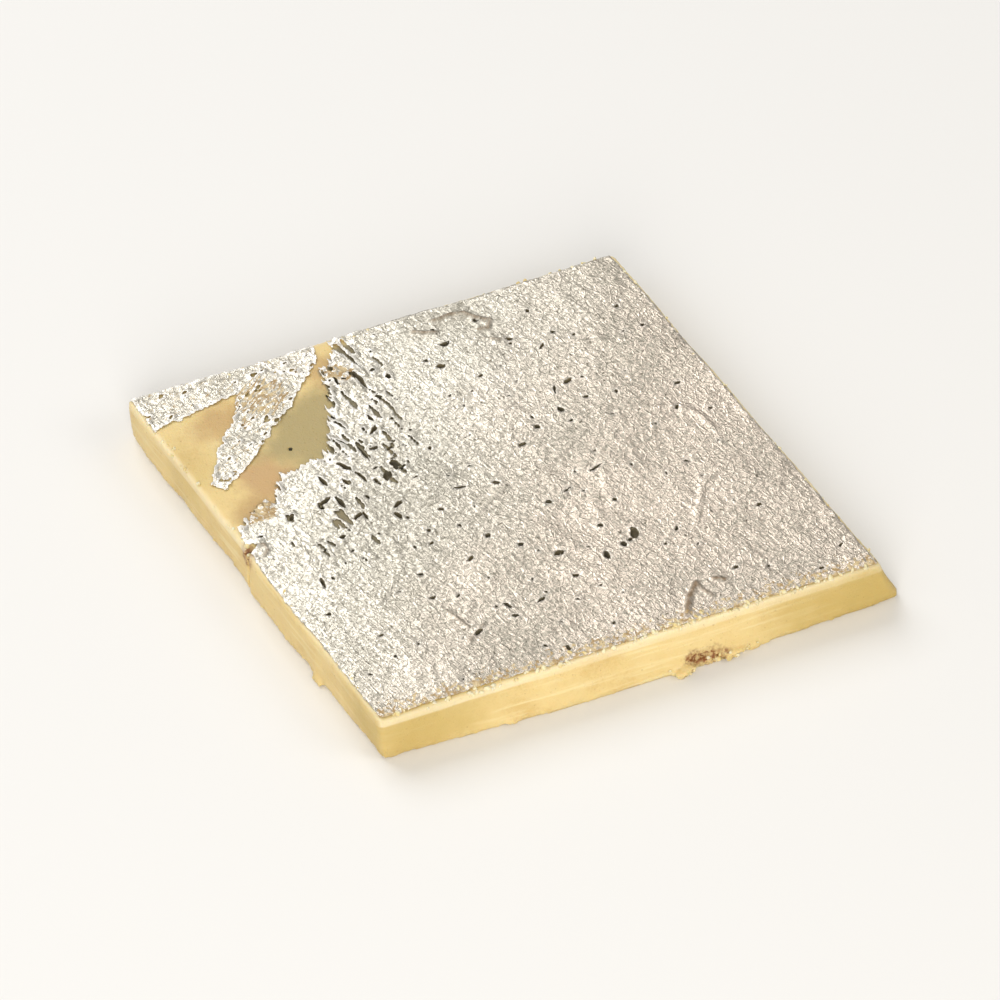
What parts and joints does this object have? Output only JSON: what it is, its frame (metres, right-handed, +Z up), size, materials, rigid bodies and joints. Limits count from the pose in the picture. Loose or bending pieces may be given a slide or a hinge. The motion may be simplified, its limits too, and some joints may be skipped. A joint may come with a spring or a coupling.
{
  "type": "kaju barfi",
  "caption": "Diamond-cut slab of pale cashew fudge with a thin torn silver leaf on top, baring one corner. Lies flat on its underside.",
  "frame": {"origin": "centre of the piece's bounding box in plan, at the plane of its flat underside", "axes": "+X along the front cut edge, +Y from the front cut to the back cut, +Z up out of the leaf-covered top"},
  "size_m": [0.0596, 0.052, 0.0059],
  "materials": {
    "cashew_fudge": "smooth rolled cashew paste, pale cream yellow, a little oily",
    "silver_leaf": "beaten edible silver leaf, crinkled and satin, with pinholes"
  },
  "bodies": {
    "root": {"cashew_fudge": "cashew_fudge", "silver_leaf": "silver_leaf", "silver_leaf_scrap": "silver_leaf"}
  },
  "joints": []
}
